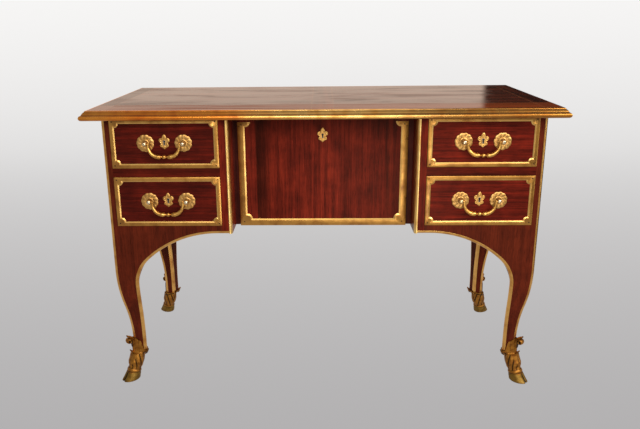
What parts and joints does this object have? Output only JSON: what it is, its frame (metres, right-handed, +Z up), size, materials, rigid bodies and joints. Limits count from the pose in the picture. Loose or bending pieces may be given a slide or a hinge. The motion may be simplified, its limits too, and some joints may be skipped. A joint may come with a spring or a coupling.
{
  "type": "money changers desk",
  "caption": "Flat-topped desk on cabriole legs with hoof feet: drawer pedestals either side of a recessed fall-front compartment, dark veneer with brass frames, beads and rim.",
  "frame": {"origin": "on the floor under the middle of the desk's overall box", "axes": "+X to the desk's right as seen from its front, +Y from front to back, +Z up"},
  "size_m": [1.236, 0.596, 0.786],
  "materials": {
    "veneer": "french polished dark red veneer",
    "drawer_veneer": "french polished, grain along the drawer",
    "fall_veneer": "french polished, upright streaked grain",
    "lining_oak": "plain waxed oak",
    "gilt_brass": "chased and gilt, worn",
    "iron": "dark oiled iron"
  },
  "bodies": {
    "carcass": {"top_panel": "veneer", "top_rim": "gilt_brass", "leg_front_left": "veneer", "leg_front_right": "veneer", "leg_back_left": "veneer", "leg_back_right": "veneer", "hoof_foot_front_left": "gilt_brass", "hoof_foot_front_right": "gilt_brass", "hoof_foot_back_left": "gilt_brass", "hoof_foot_back_right": "gilt_brass", "corner_beads": "gilt_brass", "arch_beads": "gilt_brass", "inner_corner_beads": "gilt_brass", "leg_inner_beads": "gilt_brass", "side_panel_left": "veneer", "side_panel_right": "veneer", "inner_side_left": "veneer", "inner_side_right": "veneer", "front_apron_left": "veneer", "front_apron_right": "veneer", "drawer_rails": "veneer", "dust_boards": "lining_oak", "pedestal_bottoms": "lining_oak", "back_panel": "veneer", "compartment_floor": "lining_oak", "fall_stiles": "veneer", "compartment_shelf": "lining_oak", "fall_pivot_pins": "iron"},
    "fall_front": {"fall_panel": "fall_veneer", "fall_brass_frame": "gilt_brass", "fall_escutcheon": "gilt_brass", "fall_lock": "iron"},
    "drawer_upper_left": {"drawer_front_upper_left": "drawer_veneer", "drawer_box_upper_left": "lining_oak", "brass_frame_upper_left": "gilt_brass", "handle_plates_upper_left": "gilt_brass", "escutcheon_upper_left": "gilt_brass", "lock_upper_left": "iron"},
    "handle_upper_left": {"bail_upper_left": "gilt_brass"},
    "drawer_lower_left": {"drawer_front_lower_left": "drawer_veneer", "drawer_box_lower_left": "lining_oak", "brass_frame_lower_left": "gilt_brass", "handle_plates_lower_left": "gilt_brass", "escutcheon_lower_left": "gilt_brass", "lock_lower_left": "iron"},
    "handle_lower_left": {"bail_lower_left": "gilt_brass"},
    "drawer_upper_right": {"drawer_front_upper_right": "drawer_veneer", "drawer_box_upper_right": "lining_oak", "brass_frame_upper_right": "gilt_brass", "handle_plates_upper_right": "gilt_brass", "escutcheon_upper_right": "gilt_brass", "lock_upper_right": "iron"},
    "handle_upper_right": {"bail_upper_right": "gilt_brass"},
    "drawer_lower_right": {"drawer_front_lower_right": "drawer_veneer", "drawer_box_lower_right": "lining_oak", "brass_frame_lower_right": "gilt_brass", "handle_plates_lower_right": "gilt_brass", "escutcheon_lower_right": "gilt_brass", "lock_lower_right": "iron"},
    "handle_lower_right": {"bail_lower_right": "gilt_brass"}
  },
  "joints": [
    {"name": "fall_front_hinge", "type": "hinge", "parent": "carcass", "child": "fall_front", "pos_m": [0, -0.17, 0.462], "axis": [1, 0, 0], "range_deg": [0, 90]},
    {"name": "drawer_upper_left_slide", "type": "slide", "parent": "carcass", "child": "drawer_upper_left", "axis": [0, -1, 0], "range_m": [0, 0.34]},
    {"name": "handle_upper_left_swing", "type": "hinge", "parent": "drawer_upper_left", "child": "handle_upper_left", "pos_m": [-0.4125, -0.268, 0.69715], "axis": [-1, 0, 0], "range_deg": [-10, 150]},
    {"name": "drawer_lower_left_slide", "type": "slide", "parent": "carcass", "child": "drawer_lower_left", "axis": [0, -1, 0], "range_m": [0, 0.34]},
    {"name": "handle_lower_left_swing", "type": "hinge", "parent": "drawer_lower_left", "child": "handle_lower_left", "pos_m": [-0.4125, -0.268, 0.5407], "axis": [-1, 0, 0], "range_deg": [-10, 150]},
    {"name": "drawer_upper_right_slide", "type": "slide", "parent": "carcass", "child": "drawer_upper_right", "axis": [0, -1, 0], "range_m": [0, 0.34]},
    {"name": "handle_upper_right_swing", "type": "hinge", "parent": "drawer_upper_right", "child": "handle_upper_right", "pos_m": [0.4125, -0.268, 0.69715], "axis": [-1, 0, 0], "range_deg": [-10, 150]},
    {"name": "drawer_lower_right_slide", "type": "slide", "parent": "carcass", "child": "drawer_lower_right", "axis": [0, -1, 0], "range_m": [0, 0.34]},
    {"name": "handle_lower_right_swing", "type": "hinge", "parent": "drawer_lower_right", "child": "handle_lower_right", "pos_m": [0.4125, -0.268, 0.5407], "axis": [-1, 0, 0], "range_deg": [-10, 150]}
  ]
}
